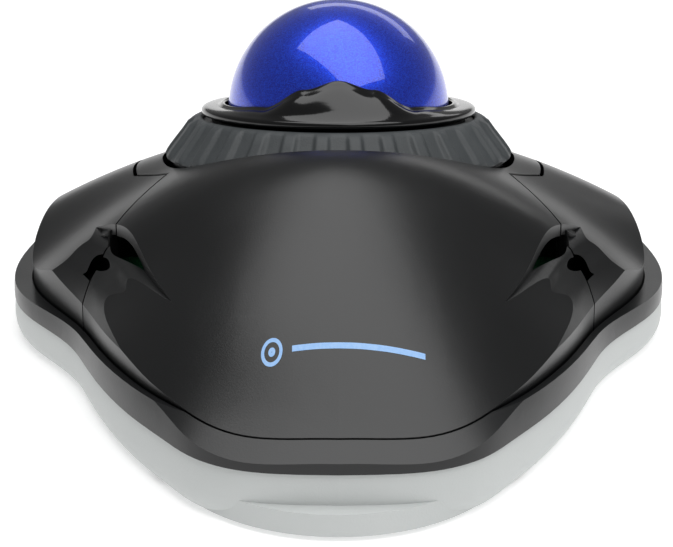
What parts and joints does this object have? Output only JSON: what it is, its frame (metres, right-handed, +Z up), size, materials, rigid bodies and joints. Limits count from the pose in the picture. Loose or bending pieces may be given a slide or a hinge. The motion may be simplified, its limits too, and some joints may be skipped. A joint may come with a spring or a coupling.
{
  "type": "trackball mouse",
  "caption": "Desk trackball with a large blue ball, a ribbed scroll ring around it, a black palm cover, side buttons and a pale base.",
  "frame": {"origin": "bottom centre of the body, on the desk", "axes": "+Y from the palm end towards the cable end, +Z up, +X to the user's right"},
  "size_m": [0.1176, 0.1334, 0.057],
  "materials": {
    "base_plastic": "fine spark-eroded grain",
    "rim_plastic": "satin",
    "frame_plastic": "matt",
    "cover_plastic": "satin",
    "button_plastic": "satin",
    "bezel_gloss": "high gloss",
    "ball_lacquer": "pearl blue under clear coat",
    "grip_rubber": "matt moulded",
    "carrier_plastic": "matt",
    "cup_plastic": "matt",
    "bearing_steel": "polished",
    "washer_plastic": "smooth",
    "board_laminate": "solder mask",
    "chip_plastic": "moulded epoxy",
    "can_metal": "drawn",
    "lens_clear": "clear",
    "led_clear": "clear",
    "connector_nylon": "moulded",
    "switch_plastic": "moulded",
    "plunger_plastic": "moulded",
    "gland_rubber": "matt",
    "screw_steel": "black oxide and zinc",
    "foot_rubber": "matt",
    "plate_film": "printed film, left blank"
  },
  "bodies": {
    "housing": {"base_shell": "base_plastic", "top_frame": "rim_plastic", "mid_frame": "frame_plastic", "left_hinge_bracket": "frame_plastic", "right_hinge_bracket": "frame_plastic", "palm_cover": "cover_plastic", "bezel_ring": "bezel_gloss", "ball_cup": "cup_plastic", "rear_bearing": "bearing_steel", "left_bearing": "bearing_steel", "right_bearing": "bearing_steel", "ring_washer": "washer_plastic", "main_board": "board_laminate", "riser_board": "board_laminate", "sensor_chip": "chip_plastic", "controller_chip": "chip_plastic", "ring_sensor": "chip_plastic", "crystal": "can_metal", "capacitor": "can_metal", "sensor_lens": "lens_clear", "sensor_led": "led_clear", "cable_connector": "connector_nylon", "left_switch_body": "switch_plastic", "right_switch_body": "switch_plastic", "cable_gland": "gland_rubber", "case_screws": "screw_steel", "cup_screws": "screw_steel", "board_screws": "screw_steel", "rear_left_foot": "foot_rubber", "rear_right_foot": "foot_rubber", "front_left_foot": "foot_rubber", "front_right_foot": "foot_rubber", "rating_plate": "plate_film"},
    "ball": {"ball": "ball_lacquer"},
    "scroll_ring": {"ring_grip": "grip_rubber", "ring_carrier": "carrier_plastic", "encoder_ring": "carrier_plastic"},
    "left_button": {"left_button": "button_plastic"},
    "right_button": {"right_button": "button_plastic"},
    "left_plunger": {"left_plunger": "plunger_plastic"},
    "right_plunger": {"right_plunger": "plunger_plastic"}
  },
  "joints": [
    {"name": "ball_roll", "type": "hinge", "parent": "housing", "child": "ball", "pos_m": [0, 0.0254, 0.037], "axis": [1, 0, 0], "continuous": true},
    {"name": "ring_spin", "type": "hinge", "parent": "housing", "child": "scroll_ring", "pos_m": [0, 0.0254, 0.037], "axis": [0, 0.225, 0.9744], "continuous": true},
    {"name": "left_button_press", "type": "hinge", "parent": "housing", "child": "left_button", "pos_m": [-0.0397, -0.0016, 0.013], "axis": [-1, 0, 0], "range_deg": [0, 0.8], "stiffness_Nm_per_rad": 0.3, "springref_deg": -2.86},
    {"name": "right_button_press", "type": "hinge", "parent": "housing", "child": "right_button", "pos_m": [0.0397, -0.0016, 0.013], "axis": [-1, 0, 0], "range_deg": [0, 0.8], "stiffness_Nm_per_rad": 0.3, "springref_deg": -2.86},
    {"name": "left_plunger_slide", "type": "slide", "parent": "housing", "child": "left_plunger", "axis": [0, 0, -1], "range_m": [0, 0.0006]},
    {"name": "right_plunger_slide", "type": "slide", "parent": "housing", "child": "right_plunger", "axis": [0, 0, -1], "range_m": [0, 0.0006]}
  ],
  "couplings": [
    {"joint": "left_plunger_slide", "follows": "left_button_press", "m_per_rad": 0.035},
    {"joint": "right_plunger_slide", "follows": "right_button_press", "m_per_rad": 0.035}
  ]
}
